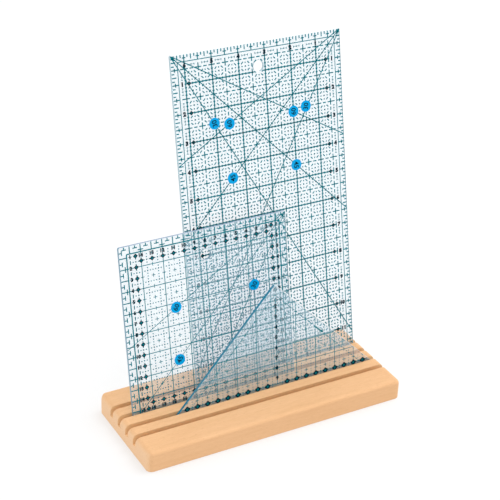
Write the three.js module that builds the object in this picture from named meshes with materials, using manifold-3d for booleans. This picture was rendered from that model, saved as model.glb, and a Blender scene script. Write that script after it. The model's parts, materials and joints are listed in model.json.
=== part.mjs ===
// Quilting ruler set: a slotted beech rack that holds three clear acrylic rulers, a 6.5 x 12 inch
// rectangle, a 16 cm square and a right triangle. Each ruler stands loose in its slot, leans back
// against the slot's rear edge and lifts out along its own plane.
// Millimetres. +X runs along the rack, -Y faces the user, +Z is up. The origin is the middle of
// the rack's underside.
import * as THREE from "three";
import { mergeVertices } from "three/addons/utils/BufferGeometryUtils.js";
import Module from "manifold-3d";

const wasm = await Module();
wasm.setup();

const INCH = 25.4;

// The rack: a solid block whose ends round over, cut through from end to end by four slots.
const RACK = {
  length: 252,
  depth: 100,
  height: 19,
  cornerRadius: 5.5, // the four upright corners, seen from above
  endRadius: 5, // the top edge at each end
  sideRadius: 3, // the top edge at the front and the back
  footRadius: 0.5, // the edge round the underside
};
const SLOT = {
  count: 4,
  width: 5,
  depth: 9.5,
  spacing: 15.3, // from one slot to the next, towards the front
  firstY: 24, // the rearmost slot's middle
};

// What every ruler shares.
const PLATE = {
  thickness: 2.5,
  cornerRadius: 1.5,
  chamfer: 0.3, // on every edge, the hang hole's too
  holeRadius: 4.8,
  seatGap: 0.15, // between a ruler and the rack, at the slot's floor and at its rear edge
};

// slot counts from the rear; middleX is the ruler's middle along the rack; lean is from upright.
const RULERS = [
  {
    name: "rectangle_ruler",
    slot: 0,
    middleX: 38.7,
    leanDegrees: 11.8,
    outline: rectangle(6.5 * INCH, 12 * INCH),
    holeHeight: 12 * INCH - 21,
  },
  {
    name: "square_ruler",
    slot: 1,
    middleX: -32.7,
    leanDegrees: 11.1,
    outline: rectangle(160, 160),
    holeHeight: 160 - 23,
  },
  {
    name: "triangle_ruler",
    slot: 2,
    middleX: 21.8,
    leanDegrees: 8.1,
    outline: rightTriangle(106),
  },
];

const ARC_SEGMENTS = 8; // in each quarter turn of the rack's roundings
const PLATE_ARC_SEGMENTS = 4; // in each of a ruler's corners
const HOLE_SEGMENTS = 32;
const CUT_OVERRUN = 10; // how far a cutting solid passes the block it cuts

const beech = new THREE.MeshStandardMaterial({ color: 0xe9bb8c, roughness: 0.55, metalness: 0 });
const acrylic = new THREE.MeshStandardMaterial({
  color: 0xcfe6ee,
  roughness: 0.08,
  metalness: 0,
  transparent: true,
  opacity: 0.35,
});

// Corner points of a ruler's outline, counter-clockwise, with its bottom edge on y = 0.
function rectangle(width, height) {
  const half = width / 2;
  return [
    [-half, 0],
    [half, 0],
    [half, height],
    [-half, height],
  ];
}

// A triangle with its right angle at the top, so it is twice as wide as it is high.
function rightTriangle(height) {
  return [
    [-height, 0],
    [height, 0],
    [0, height],
  ];
}

// The points of a round of the given radius in the corner between two straight edges.
function roundedCorner(before, corner, after, radius, segments) {
  const toBefore = before.clone().sub(corner).normalize();
  const toAfter = after.clone().sub(corner).normalize();
  const halfAngle = Math.acos(toBefore.dot(toAfter)) / 2;
  const bisector = toBefore.clone().add(toAfter).normalize();
  const centre = corner.clone().addScaledVector(bisector, radius / Math.sin(halfAngle));
  const tangent = radius / Math.tan(halfAngle);
  const start = corner.clone().addScaledVector(toBefore, tangent).sub(centre);
  const sweep = Math.PI - 2 * halfAngle;
  const points = [];
  for (let i = 0; i <= segments; i++) {
    const turned = start.clone().rotateAround(new THREE.Vector2(), (sweep * i) / segments);
    points.push(turned.add(centre));
  }
  return points;
}

// A closed shape from counter-clockwise corners, each rounded by its own radius.
function roundedShape(corners, radii, segments) {
  const points = corners.map(([x, y]) => new THREE.Vector2(x, y));
  const last = points.length - 1;
  return new THREE.Shape(
    points.flatMap((corner, i) =>
      roundedCorner(points[i ? i - 1 : last], corner, points[i < last ? i + 1 : 0], radii[i], segments),
    ),
  );
}

// A block's outline with rounded feet and top, standing on y = 0.
function blockOutline(width, height, footRadius, topRadius) {
  return roundedShape(
    rectangle(width, height),
    [footRadius, footRadius, topRadius, topRadius],
    ARC_SEGMENTS,
  );
}

function toSolid(geometry) {
  const merged = geometry.clone();
  merged.deleteAttribute("normal");
  merged.deleteAttribute("uv");
  const welded = mergeVertices(merged);
  return new wasm.Manifold(
    new wasm.Mesh({
      numProp: 3,
      vertProperties: new Float32Array(welded.getAttribute("position").array),
      triVerts: new Uint32Array(welded.index.array),
    }),
  );
}

function toGeometry(solid) {
  const mesh = solid.getMesh();
  const geometry = new THREE.BufferGeometry();
  geometry.setAttribute("position", new THREE.BufferAttribute(mesh.vertProperties, 3));
  geometry.setIndex(new THREE.BufferAttribute(mesh.triVerts, 1));
  geometry.computeVertexNormals();
  return geometry;
}

// The block is what three straight extrusions have in common: its plan, its front view and its
// end view, each rounded at its own corners.
function rackBlock() {
  const across = { depth: RACK.depth + CUT_OVERRUN, bevelEnabled: false };
  const along = { depth: RACK.length + CUT_OVERRUN, bevelEnabled: false };
  const upright = { depth: RACK.height + CUT_OVERRUN, bevelEnabled: false };
  const planRadii = Array(4).fill(RACK.cornerRadius);
  const plan = new THREE.ExtrudeGeometry(
    roundedShape(rectangle(RACK.length, RACK.depth), planRadii, ARC_SEGMENTS),
    upright,
  ).translate(0, -RACK.depth / 2, -CUT_OVERRUN / 2);
  const front = new THREE.ExtrudeGeometry(
    blockOutline(RACK.length, RACK.height, RACK.footRadius, RACK.endRadius),
    across,
  )
    .rotateX(Math.PI / 2)
    .translate(0, across.depth / 2, 0);
  const end = new THREE.ExtrudeGeometry(
    blockOutline(RACK.depth, RACK.height, RACK.footRadius, RACK.sideRadius),
    along,
  )
    .rotateX(Math.PI / 2)
    .rotateZ(Math.PI / 2)
    .translate(-along.depth / 2, 0, 0);
  return toSolid(plan).intersect(toSolid(front)).intersect(toSolid(end));
}

function slotMiddleY(slot) {
  return SLOT.firstY - slot * SLOT.spacing;
}

function rack() {
  const floor = RACK.height - SLOT.depth;
  let solid = rackBlock();
  for (let slot = 0; slot < SLOT.count; slot++) {
    const cutter = new THREE.BoxGeometry(
      RACK.length + CUT_OVERRUN,
      SLOT.width,
      SLOT.depth + CUT_OVERRUN,
    ).translate(0, slotMiddleY(slot), floor + (SLOT.depth + CUT_OVERRUN) / 2);
    solid = solid.subtract(toSolid(cutter));
  }
  const mesh = new THREE.Mesh(toGeometry(solid), beech);
  mesh.name = "rack";
  return mesh;
}

// A chamfered plate in its own frame: x across, y up its face, z from its back to its front.
function plateGeometry(outline, holeHeight) {
  const radii = outline.map(() => PLATE.cornerRadius);
  const shape = roundedShape(outline, radii, PLATE_ARC_SEGMENTS);
  if (holeHeight) {
    const hole = new THREE.Path().absarc(0, holeHeight, PLATE.holeRadius, 0, 2 * Math.PI, true);
    shape.holes.push(hole);
  }
  return new THREE.ExtrudeGeometry(shape, {
    depth: PLATE.thickness - 2 * PLATE.chamfer,
    bevelThickness: PLATE.chamfer,
    bevelSize: PLATE.chamfer,
    bevelOffset: -PLATE.chamfer,
    bevelSegments: 1,
    curveSegments: HOLE_SEGMENTS,
  }).translate(0, 0, PLATE.chamfer);
}

// A ruler stands on the slot's floor and leans its back on the slot's rear top edge.
function ruler({ name, slot, middleX, leanDegrees, outline, holeHeight }) {
  const lean = THREE.MathUtils.degToRad(leanDegrees);
  const seatZ = RACK.height - SLOT.depth + PLATE.seatGap;
  const rearEdgeY = slotMiddleY(slot) + SLOT.width / 2 - PLATE.seatGap;
  const seatY = rearEdgeY - (RACK.height - seatZ) * Math.tan(lean);
  const mesh = new THREE.Mesh(plateGeometry(outline, holeHeight), acrylic);
  mesh.name = name;
  mesh.position.set(middleX, seatY, seatZ);
  mesh.rotation.x = Math.PI / 2 - lean;
  return mesh;
}

const set = new THREE.Group();
set.add(rack());
for (const spec of RULERS) set.add(ruler(spec));

export default set;
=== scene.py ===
"""Looks for a slotted beech rack that holds three clear acrylic quilting rulers.

Everything is in metres in the CAD part's frame: +X along the rack, -Y towards the user, +Z up.
The rack and the three plates are finer meshes of the CAD shapes, and each ruler's print is
thin closed ink on its front face.
"""

import json
import math

import bmesh
import bpy
from mathutils import Matrix, Vector
from mathutils.geometry import delaunay_2d_cdt


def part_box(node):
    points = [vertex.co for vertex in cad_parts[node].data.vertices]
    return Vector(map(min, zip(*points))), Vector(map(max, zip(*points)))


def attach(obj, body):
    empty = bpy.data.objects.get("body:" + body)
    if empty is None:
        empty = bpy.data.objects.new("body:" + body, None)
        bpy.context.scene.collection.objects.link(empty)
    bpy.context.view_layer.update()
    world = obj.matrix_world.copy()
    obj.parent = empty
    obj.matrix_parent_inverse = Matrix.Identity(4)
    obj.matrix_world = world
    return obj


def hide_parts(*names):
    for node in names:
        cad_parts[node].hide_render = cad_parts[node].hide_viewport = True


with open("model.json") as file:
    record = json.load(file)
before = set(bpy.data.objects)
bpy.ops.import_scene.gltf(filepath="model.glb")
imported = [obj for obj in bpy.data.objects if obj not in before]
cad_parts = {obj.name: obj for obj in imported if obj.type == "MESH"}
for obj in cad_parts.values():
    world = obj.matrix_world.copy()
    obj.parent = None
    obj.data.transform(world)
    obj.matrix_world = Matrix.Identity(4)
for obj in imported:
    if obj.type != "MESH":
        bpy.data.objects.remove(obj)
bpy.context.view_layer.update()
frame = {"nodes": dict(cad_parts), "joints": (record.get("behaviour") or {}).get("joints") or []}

MM = 0.001
CM = 0.01
INCH = 0.0254

# The rack's roundings and slots, as the CAD rack has them.
RACK_CORNER = 5.5 * MM
RACK_END_ROUND = 5 * MM
RACK_SIDE_ROUND = 3 * MM
RACK_FOOT_ROUND = 0.5 * MM
SLOT_MIDDLES = [(24 - 15.3 * k) * MM for k in (3, 2, 1, 0)]
SLOT_WIDTH = 5 * MM
SLOT_DEPTH = 9.5 * MM
SLOT_EDGE_ROUND = 0.35 * MM
MERGE_WITHIN = 0.002 * MM  # sections that nearly meet at the rack's ends
SLIVER = 0.001 * MM

# What every plate shares.
PLATE_CORNER = 1.5 * MM
PLATE_EDGE_ROUND = 0.3 * MM
PLATE_SHRINK = 0.03 * MM  # keeps the rounder corners inside the CAD plate
HOLE_RADIUS = 4.8 * MM
HOLE_BELOW_TOP = {"rectangle_ruler": 21 * MM, "square_ruler": 23 * MM}
PLATE_CORNER_STEPS = 8
PLATE_EDGE_STEPS = 4
HOLE_STEPS = 64

SHARP_TURN = 40  # degrees between two faces, from which their edge is shaded hard

# Ink: how far each lies in and stands out of a plate's front face.
INK_DEPTH = {"teal_ink": 0.02 * MM, "dark_ink": 0.025 * MM, "blue_ink": 0.03 * MM}
INK_RISE = {"teal_ink": 0.04 * MM, "dark_ink": 0.075 * MM, "blue_ink": 0.055 * MM}

# The camera, in metres and degrees: azimuth 0 looks along +Y, and elevation looks down.
CAMERA_PLACE = (-0.550334, -0.934559, 0.762836)
CAMERA_AZIMUTH = 30.107
CAMERA_ELEVATION = 29.163
CAMERA_ROLL = 2.411
CAMERA_LENS = 106.09
CAMERA_SENSOR = 36

# Soft round lamps: name, place, width and power in watts. All aim at LAMP_AIM.
LAMPS = (
    ("key", (-1.8, 0.1, 0.7), 1.0, 0.5),
    ("overhead", (0.9, -0.1, 2.1), 1.4, 16.0),
    ("right_fill", (1.7, -0.1, 1.1), 1.0, 5.0),
)
LAMP_AIM = (0, 0, 0.1)

# The floor glows a little, so that it stays pale and takes only faint shadows.
FLOOR_HALF = 6.0
FLOOR_GREY = 0.38
FLOOR_GLOW = 0.55


# ---------------------------------------------------------------- camera, floor and light


def add_camera():
    azimuth = math.radians(CAMERA_AZIMUTH)
    elevation = math.radians(CAMERA_ELEVATION)
    roll = math.radians(CAMERA_ROLL)
    forward = Vector(
        (
            math.sin(azimuth) * math.cos(elevation),
            math.cos(azimuth) * math.cos(elevation),
            -math.sin(elevation),
        )
    )
    level_right = forward.cross(Vector((0, 0, 1))).normalized()
    level_up = level_right.cross(forward)
    right = level_right * math.cos(roll) + level_up * math.sin(roll)
    up = right.cross(forward)
    turn = Matrix((right, up, -forward)).transposed().to_4x4()
    data = bpy.data.cameras.new("camera")
    data.lens = CAMERA_LENS
    data.sensor_width = CAMERA_SENSOR
    data.clip_start = 0.01
    camera = bpy.data.objects.new("camera", data)
    camera.matrix_world = Matrix.Translation(CAMERA_PLACE) @ turn
    bpy.context.scene.collection.objects.link(camera)
    bpy.context.scene.camera = camera


def add_lamp(name, place, width, power):
    data = bpy.data.lights.new(name, "AREA")
    data.shape = "DISK"
    data.size = width
    data.energy = power
    light = bpy.data.objects.new(name, data)
    aim = (Vector(LAMP_AIM) - Vector(place)).to_track_quat("-Z", "Y")
    light.matrix_world = Matrix.Translation(place) @ aim.to_matrix().to_4x4()
    bpy.context.scene.collection.objects.link(light)


def add_studio():
    """White surroundings, and the lamps."""
    scene = bpy.context.scene
    scene.view_settings.view_transform = "Standard"
    world = bpy.data.worlds.new("studio")
    world.use_nodes = True
    background = world.node_tree.nodes["Background"]
    background.inputs["Color"].default_value = (1, 1, 1, 1)
    background.inputs["Strength"].default_value = 1.0
    scene.world = world
    for lamp in LAMPS:
        add_lamp(*lamp)


def add_floor():
    half = FLOOR_HALF
    mesh = bpy.data.meshes.new("floor")
    corners = [(-half, -half, 0), (half, -half, 0), (half, half, 0), (-half, half, 0)]
    mesh.from_pydata(corners, [], [(0, 1, 2, 3)])
    floor = bpy.data.objects.new("floor", mesh)
    bpy.context.scene.collection.objects.link(floor)
    material, tree, shader = new_material("pale_floor")
    shader.inputs["Base Color"].default_value = (FLOOR_GREY, FLOOR_GREY, FLOOR_GREY, 1)
    shader.inputs["Emission Color"].default_value = (1, 1, 1, 1)
    shader.inputs["Emission Strength"].default_value = FLOOR_GLOW
    shader.inputs["Roughness"].default_value = 0.9
    shader.inputs["Specular IOR Level"].default_value = 0.1
    mesh.materials.append(material)


# ---------------------------------------------------------------- materials


def new_material(name):
    material = bpy.data.materials.new(name)
    material.use_nodes = True
    tree = material.node_tree
    return material, tree, tree.nodes["Principled BSDF"]


def feed(tree, socket, value):
    """Link an output to the socket, or set the socket to a plain value."""
    if isinstance(value, bpy.types.NodeSocket):
        tree.links.new(value, socket)
    else:
        socket.default_value = value


def add_node(tree, kind, settings=(), **inputs):
    """A node with its settings made and its inputs fed: _0 is the first input, _1 the second."""
    node = tree.nodes.new(kind)
    for key, value in dict(settings).items():
        setattr(node, key, value)
    for key, value in inputs.items():
        feed(tree, node.inputs[int(key[1:]) if key[0] == "_" else key], value)
    return node


def object_place(tree):
    """Where the shaded point is on its own object."""
    return add_node(tree, "ShaderNodeTexCoord").outputs["Object"]


def facing(tree):
    """The way the surface faces, whose outputs are X, Y and Z."""
    normal = add_node(tree, "ShaderNodeTexCoord").outputs["Normal"]
    return add_node(tree, "ShaderNodeSeparateXYZ", Vector=normal).outputs


def stretched_noise(tree, place, per_metre, detail=3.0, roughness=0.55):
    """Noise with so many features a metre along X, Y and Z."""
    mapped = add_node(tree, "ShaderNodeMapping", Vector=place, Scale=per_metre)
    noise = add_node(
        tree,
        "ShaderNodeTexNoise",
        Vector=mapped.outputs[0],
        Scale=1.0,
        Detail=detail,
        Roughness=roughness,
    )
    return noise.outputs["Fac"]


def band(tree, value, low, high, to_low=0.0, to_high=1.0):
    """value from low to high, spread smoothly over to_low to to_high."""
    node = add_node(
        tree,
        "ShaderNodeMapRange",
        {"interpolation_type": "SMOOTHSTEP"},
        _0=value,
        _1=low,
        _2=high,
        _3=to_low,
        _4=to_high,
    )
    return node.outputs[0]


def arithmetic(tree, operation, a, b=0.0):
    return add_node(tree, "ShaderNodeMath", {"operation": operation}, _0=a, _1=b).outputs[0]


def product(tree, first, *others):
    for other in others:
        first = arithmetic(tree, "MULTIPLY", first, other)
    return first


def total(tree, first, *others):
    for other in others:
        first = arithmetic(tree, "ADD", first, other)
    return first


def size_of(tree, value):
    """value without its sign."""
    return arithmetic(tree, "ABSOLUTE", value)


def blend_colour(tree, share, first, second):
    """first where share is 0, second where it is 1. A mix node's colours are inputs 6 and 7."""
    node = add_node(
        tree, "ShaderNodeMix", {"data_type": "RGBA"}, Factor=share, _6=first, _7=second
    )
    return node.outputs[2]


def add_bump(tree, shader, height, strength, distance):
    bump = add_node(tree, "ShaderNodeBump", Strength=strength, Distance=distance, Height=height)
    feed(tree, shader.inputs["Normal"], bump.outputs[0])


BEECH_LIGHT = (0.82, 0.495, 0.262, 1)
BEECH_DARK = (0.75, 0.43, 0.210, 1)
BEECH_FLECK = (0.50, 0.235, 0.100, 1)
# Painted light: paler, less red wood for the end faces, as if more lit.
BEECH_END_PAINTED_LIGHT = (0.90, 0.60, 0.36, 1)
# Painted light: paler, less red wood for the slots' walls and floors, against the shade in them.
BEECH_SLOT_PAINTED_LIGHT = (0.84, 0.56, 0.30, 1)
BEECH_SPECULAR = 0.2
SLOTS_MIDDLE = 1.05 * MM  # of all four slots together, along Y
SLOTS_REACH = 26.0 * MM
SLOTS_TOP = 18.9 * MM  # just under the rack's top face
SLOTS_FLOOR = 9.8 * MM  # just over the slots' floor
PITH = (0, 0.075, -0.16)  # the tree's middle, under and behind the rack
ALONG_GRAIN = 0.02  # how much a ring's distance changes along the rack
RING_WIDTH = 3.4 * MM
RING_WANDER = 7.0  # in ring widths


def late_wood(tree, place):
    """Growth rings: the distance from the pith, which runs along the rack, with a slow wander."""
    vector_math = "ShaderNodeVectorMath"
    from_pith = add_node(tree, vector_math, {"operation": "SUBTRACT"}, _0=place, _1=PITH)
    across = add_node(
        tree,
        vector_math,
        {"operation": "MULTIPLY"},
        _0=from_pith.outputs[0],
        _1=(ALONG_GRAIN, 1, 1),
    )
    distance = add_node(tree, vector_math, {"operation": "LENGTH"}, _0=across.outputs[0])
    rings = arithmetic(tree, "DIVIDE", distance.outputs["Value"], RING_WIDTH)
    wander = stretched_noise(tree, place, (5, 14, 14), 2.0)
    phase = arithmetic(tree, "FRACT", total(tree, rings, product(tree, wander, RING_WANDER)))
    return product(tree, band(tree, phase, 0.25, 0.92), band(tree, phase, 1.0, 0.93))


def in_slots(tree, place, normal, end_light_share):
    """How much painted light a point takes in the sawn slots: 1 on their walls and floors, 0 on the
    sanded faces.
    """
    spot = add_node(tree, "ShaderNodeSeparateXYZ", Vector=place).outputs
    off_middle = size_of(tree, arithmetic(tree, "SUBTRACT", spot["Y"], SLOTS_MIDDLE))
    among = band(tree, off_middle, SLOTS_REACH, SLOTS_REACH - 0.3 * MM)
    below = band(tree, spot["Z"], SLOTS_TOP, SLOTS_TOP - 0.5 * MM, 0.0, 0.85)
    wall = band(tree, size_of(tree, normal["Y"]), 0.5, 0.8)
    floor = band(tree, spot["Z"], SLOTS_FLOOR + 0.4 * MM, SLOTS_FLOOR)
    off_ends = band(tree, end_light_share, 0.4, 0.1)
    return product(tree, among, below, arithmetic(tree, "MAXIMUM", wall, floor), off_ends)


def beech():
    """Steamed beech: faint growth rings, ray flecks, fine fibres and a satin finish."""
    material, tree, shader = new_material("beech_wood")
    place, normal = object_place(tree), facing(tree)
    streaks = stretched_noise(tree, place, (22, 260, 260), 4.0, 0.6)
    clouds = stretched_noise(tree, place, (9, 26, 26), 2.0)
    fibres = stretched_noise(tree, place, (170, 2600, 2600), 2.0, 0.7)
    flecks = band(tree, stretched_noise(tree, place, (330, 1500, 1500), 1.0), 0.66, 0.76)

    tone = total(
        tree,
        product(tree, late_wood(tree, place), 0.16),
        band(tree, streaks, 0.35, 0.7, 0.0, 0.35),
        band(tree, clouds, 0.35, 0.7, 0.0, 0.35),
    )
    colour = blend_colour(tree, tone, BEECH_LIGHT, BEECH_DARK)
    # Painted light: the end faces, where the fibres are cut across, are painted paler as if more
    # lit, and the sawn slots' walls and floors paler and less red against the shade in them.
    end_light_share = band(tree, size_of(tree, normal["X"]), 0.5, 0.98, 0.0, 0.75)
    slot_light_share = in_slots(tree, place, normal, end_light_share)
    for share, layer in (
        (end_light_share, BEECH_END_PAINTED_LIGHT),
        (slot_light_share, BEECH_SLOT_PAINTED_LIGHT),
        (product(tree, flecks, 0.4), BEECH_FLECK),
        (band(tree, fibres, 0.35, 0.75, 0.0, 0.22), BEECH_FLECK),
    ):
        colour = blend_colour(tree, share, colour, layer)
    feed(tree, shader.inputs["Base Color"], colour)
    feed(tree, shader.inputs["Roughness"], band(tree, fibres, 0.3, 0.7, 0.46, 0.6))
    height = arithmetic(tree, "SUBTRACT", product(tree, fibres, 0.6), flecks)
    add_bump(tree, shader, height, 0.22, 0.12 * MM)
    shader.inputs["Specular IOR Level"].default_value = BEECH_SPECULAR
    return material


ACRYLIC_IOR = 1.49
FACE_LIGHT = (0.98, 0.985, 0.985, 1)
FACE_DARK = (0.965, 0.975, 0.975, 1)
FACE_LAMP_TINT = (0.97, 0.98, 0.985, 1)
EDGE_LAMP_TINT = (0.9, 0.94, 0.96, 1)
GLOSS_TINT = (0.55, 0.95, 1.0, 1)
HAZE = 0.38  # a plate's faint veil, as sheen
HAZE_SPREAD = 0.9
HAZE_TINT = (0.58, 0.82, 1.0, 1)

# Painted light on each plate's sawn edge: its colour where it faces left, where it faces up, and
# elsewhere, standing in for light carried along the plate and for reflections.
EDGE_PAINTED_LIGHT = {
    "rectangle": ((0.42, 0.57, 0.63, 1), (0.80, 0.88, 0.91, 1), (0.97, 0.98, 0.985, 1)),
    "square": ((0.18, 0.32, 0.42, 1), (0.22, 0.32, 0.46, 1), (0.80, 0.86, 0.88, 1)),
    "triangle": ((0.002, 0.205, 0.33, 1), (0.2, 0.4, 0.5, 1), (0.66, 0.66, 0.66, 1)),
}

# Each ink's thick and thin colour, and its roughness.
INK_LOOKS = {
    "teal_ink": ((0.001, 0.205, 0.255, 1), (0.001, 0.180, 0.225, 1), 0.5),
    "dark_ink": ((0.002, 0.022, 0.038, 1), (0.001, 0.017, 0.030, 1), 0.5),
    "blue_ink": ((0.001, 0.37, 0.76, 1), (0.001, 0.33, 0.70, 1), 0.45),
}
INK_SPECULAR = 0.06


def lets_lamps_through(tree, shader, colour):
    """Lamps shine straight through: the plate's shader is swapped for a clear one on shadow rays."""
    path = add_node(tree, "ShaderNodeLightPath")
    clear = add_node(tree, "ShaderNodeBsdfTransparent", Color=colour)
    swap = add_node(
        tree,
        "ShaderNodeMixShader",
        _0=path.outputs["Is Shadow Ray"],
        _1=shader.outputs[0],
        _2=clear.outputs[0],
    )
    tree.links.new(swap.outputs[0], tree.nodes["Material Output"].inputs["Surface"])


def acrylic(name):
    """Clear acrylic with a slow drift of tint, a faint ripple and a veil of haze."""
    material, tree, shader = new_material(name)
    place = object_place(tree)
    drift = stretched_noise(tree, place, (9, 9, 9), 2.0)
    colour = blend_colour(tree, band(tree, drift, 0.3, 0.7), FACE_LIGHT, FACE_DARK)
    feed(tree, shader.inputs["Base Color"], colour)
    ripple = stretched_noise(tree, place, (60, 60, 60), 1.0)
    add_bump(tree, shader, ripple, 0.2, 0.02 * MM)
    shader.inputs["Transmission Weight"].default_value = 0.95
    shader.inputs["Specular Tint"].default_value = GLOSS_TINT
    shader.inputs["Sheen Weight"].default_value = HAZE
    shader.inputs["Sheen Roughness"].default_value = HAZE_SPREAD
    shader.inputs["Sheen Tint"].default_value = HAZE_TINT
    shader.inputs["Roughness"].default_value = 0.0
    shader.inputs["IOR"].default_value = ACRYLIC_IOR
    lets_lamps_through(tree, shader, FACE_LAMP_TINT)
    return material


def cut_edge(name, deep, top, pale):
    """A satin sawn edge with fine saw marks, painted by the way it faces to stand in for light: deep
    to the left, top on top and pale elsewhere.
    """
    material, tree, shader = new_material(name)
    place, normal = object_place(tree), facing(tree)
    cloud = stretched_noise(tree, place, (60, 60, 60), 2.0)
    colour = pale
    # Painted light: the colour follows the way the edge faces.
    for share, layer in (
        (band(tree, normal["Z"], 0.75, 0.9), top),
        (band(tree, normal["X"], -0.03, -0.25), deep),
        (band(tree, cloud, 0.3, 0.7, 0.0, 0.08), pale),
    ):
        colour = blend_colour(tree, share, colour, layer)
    feed(tree, shader.inputs["Base Color"], colour)
    saw = stretched_noise(tree, place, (2500, 120, 2500), 1.0)
    feed(tree, shader.inputs["Roughness"], band(tree, saw, 0.3, 0.7, 0.25, 0.4))
    add_bump(tree, shader, saw, 0.15, 0.03 * MM)
    shader.inputs["Transmission Weight"].default_value = 0.1
    shader.inputs["Specular IOR Level"].default_value = 0.12
    shader.inputs["IOR"].default_value = ACRYLIC_IOR
    lets_lamps_through(tree, shader, EDGE_LAMP_TINT)
    return material


def ink(name, thick, thin, roughness):
    """Screen-printed ink: a slightly uneven film."""
    material, tree, shader = new_material(name)
    place = object_place(tree)
    cover = stretched_noise(tree, place, (900, 900, 900), 2.0)
    colour = blend_colour(tree, band(tree, cover, 0.3, 0.7), thick, thin)
    feed(tree, shader.inputs["Base Color"], colour)
    grain = stretched_noise(tree, place, (4000, 4000, 4000), 1.0)
    unevenness = band(tree, grain, 0.3, 0.7, roughness - 0.08, roughness + 0.08)
    feed(tree, shader.inputs["Roughness"], unevenness)
    shader.inputs["Specular IOR Level"].default_value = INK_SPECULAR
    return material


# ---------------------------------------------------------------- meshes


def link_object(name, mesh, body):
    made = bpy.data.objects.new(name, mesh)
    bpy.context.scene.collection.objects.link(made)
    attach(made, body)
    return made


def mark_sharp(built):
    """Smooth shading, with a hard edge wherever two faces turn by more than SHARP_TURN."""
    limit = math.radians(SHARP_TURN)
    for face in built.faces:
        face.smooth = True
    for edge in built.edges:
        if len(edge.link_faces) == 2:
            edge.smooth = edge.calc_face_angle(math.pi) < limit


def arc(centre, radius, start, end, steps):
    """Points on an arc, from start to end degrees."""
    turns = [math.radians(start + (end - start) * i / steps) for i in range(steps + 1)]
    return [(centre[0] + radius * math.cos(t), centre[1] + radius * math.sin(t)) for t in turns]


def rack_section(half_depth, top, bottom, slot_floor):
    """(y, z) outline of the rack cut across, from the front foot over the top to the rear foot."""
    side, foot = RACK_SIDE_ROUND, RACK_FOOT_ROUND
    depth = max(top - slot_floor, 0.0)
    floor = min(slot_floor, top)
    edge = min(SLOT_EDGE_ROUND, 0.4 * depth)
    points = arc((-half_depth + foot, bottom + foot), foot, 270, 180, 4)
    points += arc((-half_depth + side, top - side), side, 180, 90, 10)
    for middle in SLOT_MIDDLES:
        front, rear = middle - SLOT_WIDTH / 2, middle + SLOT_WIDTH / 2
        points += arc((front - edge, top - edge), edge, 90, 0, 3)
        points += arc((front + edge, floor + edge), edge, 180, 270, 2)
        points += arc((rear - edge, floor + edge), edge, 270, 360, 2)
        points += arc((rear + edge, top - edge), edge, 180, 90, 3)
    points += arc((half_depth - side, top - side), side, 90, 0, 10)
    points += arc((half_depth - foot, bottom + foot), foot, 0, -90, 4)
    return points


def end_inset(radius, from_end):
    """How far a round of this radius pulls a face in, so far from the rack's end."""
    if from_end >= radius:
        return 0.0
    return radius - math.sqrt(radius**2 - (radius - from_end) ** 2)


def make_rack():
    """The rack as sections across it, close together where its ends round over."""
    low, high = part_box("rack")
    rounds = ((RACK_END_ROUND, 14), (RACK_CORNER, 10), (RACK_FOOT_ROUND, 3))
    from_ends = sorted(
        {
            round(radius * (1 - math.cos(math.pi / 2 * i / count)), 6)
            for radius, count in rounds
            for i in range(count + 1)
        }
    )
    stations = [(low.x + d, d) for d in from_ends]
    stations += [(high.x - d, d) for d in reversed(from_ends)]
    built = bmesh.new()
    loops = []
    for x, d in stations:
        section = rack_section(
            high.y - end_inset(RACK_CORNER, d),
            high.z - end_inset(RACK_END_ROUND, d),
            low.z + end_inset(RACK_FOOT_ROUND, d),
            high.z - SLOT_DEPTH,
        )
        loops.append([built.verts.new((x, y, z)) for y, z in section])
    count = len(loops[0])
    for first, second in zip(loops, loops[1:]):
        for i in range(count):
            j = (i + 1) % count
            built.faces.new((first[i], first[j], second[j], second[i]))
    built.faces.new(loops[0])
    built.faces.new(loops[-1])
    bmesh.ops.remove_doubles(built, verts=built.verts, dist=MERGE_WITHIN)
    bmesh.ops.dissolve_degenerate(built, edges=built.edges, dist=SLIVER)
    bmesh.ops.recalc_face_normals(built, faces=built.faces)
    mark_sharp(built)
    mesh = bpy.data.meshes.new("rack_block")
    built.to_mesh(mesh)
    built.free()
    mesh.materials.append(beech())
    rack = link_object("rack_block", mesh, "rack")
    even = rack.modifiers.new("even_shading", "WEIGHTED_NORMAL")
    even.keep_sharp = True
    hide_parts("rack")


class Plate:
    """A ruler's own frame, read off its CAD node: x to the right, y up its face, z out of its front.

    The origin is the middle of the bottom edge, on the back face.
    """

    def __init__(self, node):
        joint = next(j for j in frame["joints"] if j["child"] == node)
        self.node = node
        self.right = Vector((1, 0, 0))
        self.up = Vector(joint["axis"]).normalized()
        self.out = self.right.cross(self.up)
        points = [v.co for v in frame["nodes"][node].data.vertices]
        spans = []
        for axis in (self.right, self.up, self.out):
            along = [p.dot(axis) for p in points]
            spans.append((min(along), max(along)))
        self.width, self.height, self.thickness = (high - low for low, high in spans)
        self.origin = (
            self.right * (spans[0][0] + spans[0][1]) / 2
            + self.up * spans[1][0]
            + self.out * spans[2][0]
        )
        self.hole = None
        if node in HOLE_BELOW_TOP:
            self.hole = (0.0, self.height - HOLE_BELOW_TOP[node])

    def at(self, x, y, z):
        return self.origin + self.right * x + self.up * y + self.out * z

    def corners(self):
        """The outline's corners before rounding, counter-clockwise."""
        if self.node == "triangle_ruler":
            top = self.height + (math.sqrt(2) - 1) * PLATE_CORNER
            return [(-top, 0), (top, 0), (0, top)]
        half = self.width / 2
        return [(-half, 0), (half, 0), (half, self.height), (-half, self.height)]


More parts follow.
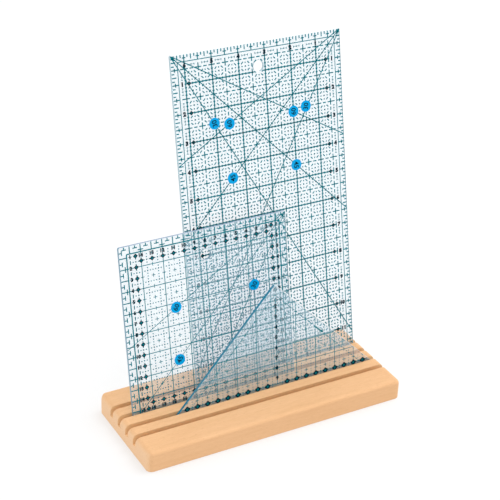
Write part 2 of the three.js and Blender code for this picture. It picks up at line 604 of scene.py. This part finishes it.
def rounded_outline(corners, radius, steps):
    """(point, outward normal) pairs round a convex outline whose corners are arcs."""
    found = []
    count = len(corners)
    for i in range(count):
        before, here, after = (Vector(corners[(i + k) % count]) for k in (-1, 0, 1))
        incoming = (here - before).normalized()
        outgoing = (after - here).normalized()
        first = Vector((incoming.y, -incoming.x))
        last = Vector((outgoing.y, -outgoing.x))
        centre = here - (first + last) * radius / (1 + first.dot(last))
        turn = math.acos(first.dot(last))
        for k in range(steps + 1):
            a = turn * k / steps
            normal = Vector(
                (
                    first.x * math.cos(a) - first.y * math.sin(a),
                    first.x * math.sin(a) + first.y * math.cos(a),
                )
            )
            found.append((centre + normal * radius, normal))
    return found


def hole_outline(centre, radius, steps):
    """The same pairs round a hole, whose normals point at its middle."""
    found = []
    for k in range(steps):
        a = -2 * math.pi * k / steps
        way = Vector((math.cos(a), math.sin(a)))
        found.append((Vector(centre) + way * radius, -way))
    return found


def edge_profile(thickness):
    """(inset, z) steps from the back face round both edge roundings to the front face."""
    radius = PLATE_EDGE_ROUND
    back = arc((radius, radius), radius, 270, 180, PLATE_EDGE_STEPS)
    return back + [(inset, thickness - z) for inset, z in reversed(back)]


def make_plate(plate, name, face_material, edge_material):
    """A plate with rounded edges: a wall round each outline, then the back and front faces."""
    built = bmesh.new()
    profile = edge_profile(plate.thickness)
    outlines = [rounded_outline(plate.corners(), PLATE_CORNER, PLATE_CORNER_STEPS)]
    if plate.hole:
        outlines.append(hole_outline(plate.hole, HOLE_RADIUS, HOLE_STEPS))
    caps = {0: [], len(profile) - 1: []}
    for outline in outlines:
        rings = []
        for inset, z in profile:
            ring = []
            for point, normal in outline:
                x, y = point - normal * (inset + PLATE_SHRINK)
                ring.append(built.verts.new(plate.at(x, y, z)))
            rings.append(ring)
        count = len(outline)
        for lower, upper in zip(rings, rings[1:]):
            for i in range(count):
                j = (i + 1) % count
                face = built.faces.new((lower[i], lower[j], upper[j], upper[i]))
                face.material_index = 1
        for level in caps:
            ring = rings[level]
            for i in range(count):
                caps[level].append(built.edges.get((ring[i], ring[(i + 1) % count])))
    for edges in caps.values():
        bmesh.ops.triangle_fill(built, use_beauty=True, edges=edges, normal=plate.out)
    bmesh.ops.recalc_face_normals(built, faces=built.faces)
    mark_sharp(built)
    for edges in caps.values():
        for edge in edges:
            edge.smooth = False
    mesh = bpy.data.meshes.new(name)
    built.to_mesh(mesh)
    built.free()
    mesh.materials.append(face_material)
    mesh.materials.append(edge_material)
    made = link_object(name, mesh, plate.node)
    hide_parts(plate.node)


# ---------------------------------------------------------------- print

# Heights, radii and line widths in millimetres.
LINE = 1.1
BORDER_LINE = 0.75
FINE = 0.92
TICK = 1.02
THIN_LINE = 0.55  # the triangle's lines are finer than the others
THIN_FINE = 0.54
RECTANGLE_ANGLE_LINE = 0.85
SQUARE_ANGLE_LINE = 0.55
SQUARE_LINE = 0.7
DISC_RADIUS = 5.1
DISC_TEXT = 4.7
ROW_TEXT = 4.3
COLUMN_TEXT = 4.2
SQUARE_TEXT = 3.7
TRIANGLE_TEXT = 4.0
RECTANGLE_DIAMOND = 2.1
SQUARE_DIAMOND = 2.3
TRIANGLE_DIAMOND = 3.1
CORNER_MARK = ((0.5, 0.5), (3.4, 2.4), (1.5, 3.4))  # in from the corner, and down from it

# How much a digit's strokes are thickened, as the font counts it.
DISC_WEIGHT = 0.02
TEXT_WEIGHT = 0.06
BOLD = 0.085

DIAMOND_FILL = 0.5  # how much of a diamond's radius its teal centre takes
EDGE_MARGIN = 0.3 * MM  # no stroke comes nearer to a plate's edge
HOLE_MARGIN = 0.7 * MM  # nor to its hole
EDGE_GAP = 0.02  # where an edge's ticks start, in the ruler's own unit

# Lengths in the ruler's own unit, each with its width in millimetres.
INCH_TICK = (0.08, TICK)
HALF_CROSS = (0.24, TICK)
HALF_DASH = (0.13, TICK)
SQUARE_DASH = (0.34, 0.6)
SQUARE_DOT = (0.1, FINE)
TRIANGLE_DASH = (0.36, THIN_FINE)
TRIANGLE_DOT = (0.09, THIN_FINE)

# Where each angle's spot lies, what it says, and its turn in degrees.
RECTANGLE_DISCS = (
    (5.05, 2.5, "30", 100),
    (4.49, 2.6, "60", 95),
    (2.0, 2.6, "60", 85),
    (1.5, 2.5, "30", 80),
    (4.5, 4.5, "45", 90),
    (2.0, 4.5, "45", -90),
)
SQUARE_DISCS = (
    (11.15, 6.4, "60", 60),
    (3.5, 6.1, "30", 60),
    (11.2, 11.25, "45", 60),
)

GLYPHS = {}


def used_only(points, faces):
    """The same faces on only the points that they use."""
    used = sorted({i for face in faces for i in face})
    place = {old: new for new, old in enumerate(used)}
    return [points[i] for i in used], [[place[i] for i in face] for face in faces]


def glyph(text, weight):
    """(points, faces) of a text one unit high about its middle, from Blender's own font."""
    key = (text, weight)
    if key not in GLYPHS:
        curve = bpy.data.curves.new("glyph", "FONT")
        curve.body = text
        curve.resolution_u = 3
        curve.offset = weight
        holder = bpy.data.objects.new("glyph", curve)
        mesh = bpy.data.meshes.new_from_object(holder)
        spots = [v.co.xy for v in mesh.vertices]
        filled = []
        for face in mesh.polygons:
            a, b, c = face.vertices
            turn = (spots[b] - spots[a]).cross(spots[c] - spots[a])
            if abs(turn) > 1e-7:
                filled.append([a, b, c] if turn > 0 else [a, c, b])
        # Thickened outlines overlap in places, so the fill is cut into triangles that don't.
        points, _, cut, _, _, sources = delaunay_2d_cdt(spots, [], filled, 1, 1e-4)
        faces = [face for face, source in zip(cut, sources) if source]
        bpy.data.objects.remove(holder)
        bpy.data.curves.remove(curve)
        bpy.data.meshes.remove(mesh)
        points, faces = used_only(points, faces)
        low = Vector((min(p.x for p in points), min(p.y for p in points)))
        high = Vector((max(p.x for p in points), max(p.y for p in points)))
        size = high.y - low.y
        middle = (low + high) / 2
        GLYPHS[key] = ([(p - middle) / size for p in points], faces)
    return GLYPHS[key]


class Ink:
    """Closed prisms of one ink on one plate's front face, gathered into one mesh."""

    def __init__(self, plate, slot):
        self.plate = plate
        self.slot = slot
        self.points = []
        self.faces = []

    def prism(self, outline):
        """A prism on a convex outline, counter-clockwise, in the plate's x and y."""
        self.solid(outline, [list(range(len(outline)))])

    def solid(self, outline, faces):
        """A prism on a flat mesh, whose free edges get walls."""
        start, count = len(self.points), len(outline)
        back = self.plate.thickness - INK_DEPTH[self.slot]
        front = self.plate.thickness + INK_RISE[self.slot]
        for z in (back, front):
            self.points += [self.plate.at(x, y, z) for x, y in outline]
        used = set()
        for face in faces:
            self.faces.append([start + count + i for i in face])
            self.faces.append([start + i for i in reversed(face)])
            used |= set(zip(face, face[1:] + face[:1]))
        for a, b in used:
            if (b, a) not in used:
                self.faces.append(
                    (start + a, start + b, start + count + b, start + count + a)
                )

    def build(self, name, material):
        mesh = bpy.data.meshes.new(name)
        mesh.from_pydata(self.points, [], self.faces)
        mesh.validate()
        mesh.materials.append(material)
        link_object(name, mesh, self.plate.node)


class Sheet:
    """The print of one ruler, drawn in its own unit.

    u runs from the origin to the right, or to the left where way is -1, and v runs down. The
    origin is in the plate's own x and y, in metres.
    """

    def __init__(self, plate, unit, origin, way):
        self.plate = plate
        self.unit = unit
        self.origin = origin
        self.way = way
        self.inks = {slot: Ink(plate, slot) for slot in INK_RISE}
        self.walls = []
        corners = [Vector(c) for c in plate.corners()]
        for a, b in zip(corners, corners[1:] + corners[:1]):
            along = (b - a).normalized()
            self.walls.append((a, Vector((-along.y, along.x))))

    def spot(self, u, v):
        x, y = self.origin
        return Vector((x + self.way * u * self.unit, y - v * self.unit))

    def inside(self, a, b, side):
        """The stretches of a to b, as shares of it, that lie on the plate and off its hole.

        side is half the stroke's width, across it: its square ends stay on the plate too.
        """
        low, high = 0.0, 1.0
        for foot, inward in self.walls:
            room = EDGE_MARGIN + abs(side.dot(inward))
            at_a = (a - foot).dot(inward) - room
            at_b = (b - foot).dot(inward) - room
            if at_a < 0 and at_b < 0:
                return []
            if at_a < 0:
                low = max(low, at_a / (at_a - at_b))
            elif at_b < 0:
                high = min(high, at_a / (at_a - at_b))
        if high <= low:
            return []
        if not self.plate.hole:
            return [(low, high)]
        radius = HOLE_RADIUS + HOLE_MARGIN
        way, start = b - a, a - Vector(self.plate.hole)
        reach = way.length_squared
        half = way.dot(start) / reach
        crossing = half**2 - (start.length_squared - radius**2) / reach
        if crossing <= 0:
            return [(low, high)]
        enter, leave = -half - math.sqrt(crossing), -half + math.sqrt(crossing)
        parts = [(low, min(high, enter)), (max(low, leave), high)]
        return [(p, q) for p, q in parts if q - p > 1e-4]

    def line(self, start, end, width):
        """A straight stroke from start to end, each (u, v), of a width in millimetres."""
        a, b = self.spot(*start), self.spot(*end)
        side = (b - a).normalized().orthogonal() * width * MM / 2
        for p, q in self.inside(a, b, side):
            first, last = a.lerp(b, p), a.lerp(b, q)
            strip = [first - side, last - side, last + side, first + side]
            self.inks["teal_ink"].prism(strip)

    def dash(self, u, v, along, length, width):
        """A short stroke about (u, v), length units long, along (du, dv)."""
        reach = Vector(along).normalized() * length / 2
        self.line((u - reach.x, v - reach.y), (u + reach.x, v + reach.y), width)

    def polygon(self, u, v, radius, sides, slot):
        """A filled regular shape about (u, v), of a radius in millimetres."""
        middle = self.spot(u, v)
        turns = [2 * math.pi * k / sides for k in range(sides)]
        ring = [middle + Vector((math.cos(a), math.sin(a))) * radius * MM for a in turns]
        self.inks[slot].prism(ring)

    def diamond(self, u, v, radius):
        """A dark square ring on its point, of a radius in millimetres, filled with teal."""
        middle = self.spot(u, v)
        ways = [Vector(w) for w in ((1, 0), (0, 1), (-1, 0), (0, -1))]
        ring = [middle + w * radius * MM for w in ways]
        ring += [middle + w * radius * DIAMOND_FILL * MM for w in ways]
        walls = [[i, (i + 1) % 4, 4 + (i + 1) % 4, 4 + i] for i in range(4)]
        self.inks["dark_ink"].solid(ring, walls)
        self.polygon(u, v, radius * DIAMOND_FILL, 4, "teal_ink")

    def text(self, words, u, v, height, turn=0.0, weight=TEXT_WEIGHT):
        """Text about (u, v), so many millimetres high, turned by degrees.

        A 9 is a 6 turned half round, because the font's own 9 tears when it is thickened.
        """
        if words == "9":
            words, turn = "6", turn + 180
        points, faces = glyph(words, weight)
        middle, a = self.spot(u, v), math.radians(turn)
        cos, sin = math.cos(a) * height * MM, math.sin(a) * height * MM
        placed = [middle + Vector((p.x * cos - p.y * sin, p.x * sin + p.y * cos)) for p in points]
        self.inks["dark_ink"].solid(placed, faces)

    def disc(self, u, v, words, turn):
        """A solid spot that carries a line's angle."""
        self.polygon(u, v, DISC_RADIUS, 48, "blue_ink")
        self.text(words, u, v, DISC_TEXT, turn, DISC_WEIGHT)

    def build(self, name, materials):
        for slot, layer in self.inks.items():
            if layer.points:
                layer.build(f"{name}_{slot.replace('_ink', '_print')}", materials[slot])


def corner_mark(sheet, u, v, way):
    """A solid arrowhead in a corner, where the angle lines start. way is 1 to the right."""
    points = [sheet.spot(u, v) + Vector((way * x, -y)) * MM for x, y in CORNER_MARK]
    if way > 0:
        points.reverse()
    sheet.inks["teal_ink"].prism(points)


def angle_lines(sheet, u, way, reach, width):
    """Lines at 30, 45 and 60 degrees from a top corner, as far as the plate goes."""
    for degrees in (30, 45, 60):
        a = math.radians(degrees)
        sheet.line((u, 0), (u + way * reach * math.cos(a), reach * math.sin(a)), width)


def edge_spots(wide, tall):
    """Each edge's length, its direction, and the (u, v) so far along it and so deep."""
    return (
        (wide, (1, 0), lambda along, deep: (along, deep)),
        (wide, (1, 0), lambda along, deep: (along, tall - deep)),
        (tall, (0, 1), lambda along, deep: (deep, along)),
        (tall, (0, 1), lambda along, deep: (wide - deep, along)),
    )


def border_lines(sheet, wide, tall, inset, width):
    """Four lines, one along each edge and so far in from it."""
    for u in (inset, wide - inset):
        sheet.line((u, inset), (u, tall - inset), width)
    for v in (inset, tall - inset):
        sheet.line((inset, v), (wide - inset, v), width)


def print_rectangle(materials):
    """The 6.5 by 12 inch ruler: inch lines, dashed half inches and eighths."""
    plate = Plate("rectangle_ruler")
    sheet = Sheet(plate, INCH, (plate.width / 2, plate.height), -1)
    wide, tall, border, eighth = 6.5, 12, 0.25, 0.125
    border_lines(sheet, wide, tall, border, BORDER_LINE)
    # A tick for each eighth of an inch round all four edges, with a bar at each half inch.
    reaches = (border, 0.12, 0.185, 0.12)
    for length, along, spot in edge_spots(wide, tall):
        for k in range(1, round(length / eighth)):
            place = k * eighth
            sheet.line(spot(place, EDGE_GAP), spot(place, reaches[k % 4]), TICK)
            if k % 4 == 0:
                sheet.dash(*spot(place, 0.13), along, *HALF_DASH)
    # Solid inch lines, crossed by a tick at each eighth.
    for u in range(1, 7):
        sheet.line((u, border), (u, tall - border), LINE)
        for k in range(3, 94):
            sheet.dash(u, k * eighth, (1, 0), *INCH_TICK)
    for v in range(1, 12):
        sheet.line((0.47, v), (6, v), LINE)
        for k in range(5, 48):
            sheet.dash(k * eighth, v, (0, 1), *INCH_TICK)
    # Dashed half-inch lines: a cross at each crossing and a dash half way between.
    for i in range(1, 24):
        for j in range(1, 13):
            u, v = j / 2, i / 2
            if i % 2:
                sheet.dash(u, v, (1, 0), *HALF_CROSS)
                if j < 12:
                    sheet.dash(u + 0.25, v, (1, 0), *HALF_DASH)
            if j % 2:
                sheet.dash(u, v, (0, 1), *HALF_CROSS)
                if i < 23:
                    sheet.dash(u, v + 0.25, (0, 1), *HALF_DASH)
    # In each half-inch cell a small cross inside a broken ring of eighth-inch marks.
    for i in range(1, 23):
        for j in range(1, 12):
            eighth_ring(sheet, j / 2 + 0.25, i / 2 + 0.25, eighth)
    print_rectangle_numbers(sheet, wide, tall)
    for corner, way in ((0, 1), (wide, -1)):
        angle_lines(sheet, corner, way, 14, RECTANGLE_ANGLE_LINE)
        corner_mark(sheet, corner + 0.06 * way, 0.06, -way)
    for disc in RECTANGLE_DISCS:
        sheet.disc(*disc)
    sheet.build("rectangle", materials)


def print_rectangle_numbers(sheet, wide, tall):
    """The number rows and columns, with a small scale between the numbers, and the diamonds."""
    row, inner = 0.375, 0.625
    for k in range(1, 7):
        for v in (row, tall - row):
            sheet.text(str(k), k, v, ROW_TEXT, weight=BOLD)
    for k in range(1, 12):
        for u in (row, wide - row):
            sheet.text(str(k), u, k, COLUMN_TEXT, weight=BOLD)
        for u in (inner, wide - inner):
            sheet.diamond(u, k, RECTANGLE_DIAMOND)
        for v in (row, tall - row):
            number_gap(sheet, k / 2 + 0.25, v, (1, 0))
            sheet.dash(k / 2, v, (0, 1), 0.05, TICK)
    for k in range(1, 23):
        for u in (row, wide - row):
            number_gap(sheet, u, k / 2 + 0.25, (0, 1))
            if k % 2:
                sheet.dash(u, k / 2, (1, 0), *INCH_TICK)


def eighth_ring(sheet, u, v, step):
    """A small cross at (u, v) with eight short marks round it, one step away each way."""
    for way in ((1, 0), (0, 1)):
        sheet.dash(u, v, way, 0.055, TICK)
    for du, dv in ((1, 0), (-1, 0), (0, 1), (0, -1)):
        sheet.dash(u + du * step, v + dv * step, (du, dv), 0.05, TICK)
    for du in (-1, 1):
        for dv in (-1, 1):
            sheet.dash(u + du * step * 0.95, v + dv * step * 0.95, (du, -dv), 0.1, TICK)


def number_gap(sheet, u, v, along):
    """A quarter-inch bar with end caps and a middle tick, between two numbers."""
    sheet.dash(u, v, along, 0.2, 0.42)
    across = (along[1], along[0])
    for shift in (-0.11, 0, 0.11):
        sheet.dash(u + along[0] * shift, v + along[1] * shift, across, 0.07, 0.6)


def broken_step(sheet, u, v, along, dash, dot):
    """One centimetre of a broken line: a dash at (u, v) and a dot half a centimetre on."""
    sheet.dash(u, v, along, *dash)
    sheet.dash(u + along[0] / 2, v + along[1] / 2, along, *dot)


def print_square(materials):
    """The 16 cm square: solid lines each 2 cm, dashed odd centimetres and quarter marks."""
    plate = Plate("square_ruler")
    sheet = Sheet(plate, CM, (plate.width / 2, plate.height), -1)
    side, border = 16, 0.7
    border_lines(sheet, side, side, border, LINE)
    # Round the edges: a tee at each half centimetre, a line at each centimetre.
    for length, along, spot in edge_spots(side, side):
        for k in range(1, 2 * length):
            place = k / 2
            if k % 2:
                sheet.line(spot(place, EDGE_GAP), spot(place, 0.26), FINE)
                sheet.dash(*spot(place, 0.27), along, 0.42, FINE)
            else:
                sheet.line(spot(place, EDGE_GAP), spot(place, border), FINE)
            if k % 4 == 0:
                sheet.dash(*spot(place, 0.5), along, 0.5, FINE)
    for k in range(2, side, 2):
        sheet.line((k, border), (k, side - border), SQUARE_LINE)
        sheet.line((border, k), (side - border, k), SQUARE_LINE)
    for i in range(1, side):
        for j in range(1, side):
            if j % 2:
                broken_step(sheet, j, i, (0, 1), SQUARE_DASH, SQUARE_DOT)
            if i % 2:
                broken_step(sheet, j, i, (1, 0), SQUARE_DASH, SQUARE_DOT)
    for i in range(1, side - 1):
        for j in range(1, side - 1):
            quarter_cross(sheet, j + 0.5, i + 0.5, FINE)
    # Numbers and diamonds down both sides, the left one a number short, and along top and bottom.
    for near, inner, last in ((side - 1, side - 1.5, side - 1), (1, 1.5, side - 2)):
        for k in range(1, last + 1):
            sheet.text(str(k), near, k, SQUARE_TEXT)
            sheet.diamond(inner, k, SQUARE_DIAMOND)
            if k < side - 1:
                sheet.dash(near, k + 0.5, (0, 1), 0.35, FINE)
        for k in range(2, side - 1):
            sheet.text(str(k), k, near, SQUARE_TEXT)
            sheet.diamond(k, inner, SQUARE_DIAMOND)
    angle_lines(sheet, 0, 1, 30, SQUARE_ANGLE_LINE)
    corner_mark(sheet, 0.15, 0.15, -1)
    for disc in SQUARE_DISCS:
        sheet.disc(*disc)
    sheet.build("square", materials)


def quarter_cross(sheet, u, v, width):
    """Five short marks a quarter of a centimetre apart, in the middle of a square centimetre."""
    sheet.dash(u, v, (1, 0), 0.12, width)
    sheet.dash(u, v, (0, 1), 0.12, width)
    for shift in (-0.25, 0.25):
        sheet.dash(u + shift, v, (1, 0), 0.11, width)
        sheet.dash(u, v + shift, (0, 1), 0.11, width)


def print_triangle(materials):
    """The right triangle: centimetre lines that step down its slanted edges from the top."""
    plate = Plate("triangle_ruler")
    zero = plate.height + 0.16 * MM  # a little above the rounded tip
    sheet = Sheet(plate, CM, (0.0, zero), 1)
    foot = 9.6
    sheet.line((0, 1.2), (0, foot), THIN_LINE)
    sheet.line((-9.4, foot), (9.4, foot), THIN_FINE)
    for k in range(2, 10, 2):
        sheet.line((-k, k), (k, k), THIN_LINE)
        for u in (-k, k):
            sheet.line((u, k), (u, foot), THIN_LINE)
    for k in range(1, 10, 2):
        for j in range(-k, k + 1):
            broken_step(sheet, j, k, (1, 0), TRIANGLE_DASH, TRIANGLE_DOT)
        for i in range(k, 10):
            for u in (-k, k):
                broken_step(sheet, u, i, (0, 1), TRIANGLE_DASH, TRIANGLE_DOT)
    for i in range(1, 10):
        for j in range(-i, i):
            quarter_cross(sheet, j + 0.5, i + 0.5, THIN_FINE)
    # A broken line inside each slanted edge, parallel to it.
    inset, pitch = 0.95, 0.26
    for k in range(1, 34):
        reach = k * pitch
        for side in (-1, 1):
            sheet.dash(side * reach, reach + inset, (side, 1), 0.24, THIN_FINE)
    for k in range(2, 10):
        sheet.text(str(k), 0, k, TRIANGLE_TEXT)
    # A short arrow that points along the right slanted edge.
    tip = (4.8, 5.7)
    sheet.line((4.05, 5.05), tip, 1.1)
    for barb in ((4.42, 5.62), (4.68, 5.33)):
        sheet.line(tip, barb, 0.8)
    for k in range(1, 10):
        sheet.diamond(-k, foot, TRIANGLE_DIAMOND)
        sheet.diamond(k, foot, TRIANGLE_DIAMOND)
    sheet.build("triangle", materials)


# ---------------------------------------------------------------- the set


def make_rulers():
    face = acrylic("acrylic_face")
    for shape, colours in EDGE_PAINTED_LIGHT.items():
        plate = Plate(f"{shape}_ruler")
        make_plate(plate, f"{shape}_plate", face, cut_edge(f"{shape}_edge", *colours))
    inks = {slot: ink(slot, *look) for slot, look in INK_LOOKS.items()}
    print_rectangle(inks)
    print_square(inks)
    print_triangle(inks)


add_camera()
add_studio()
add_floor()
make_rack()
make_rulers()
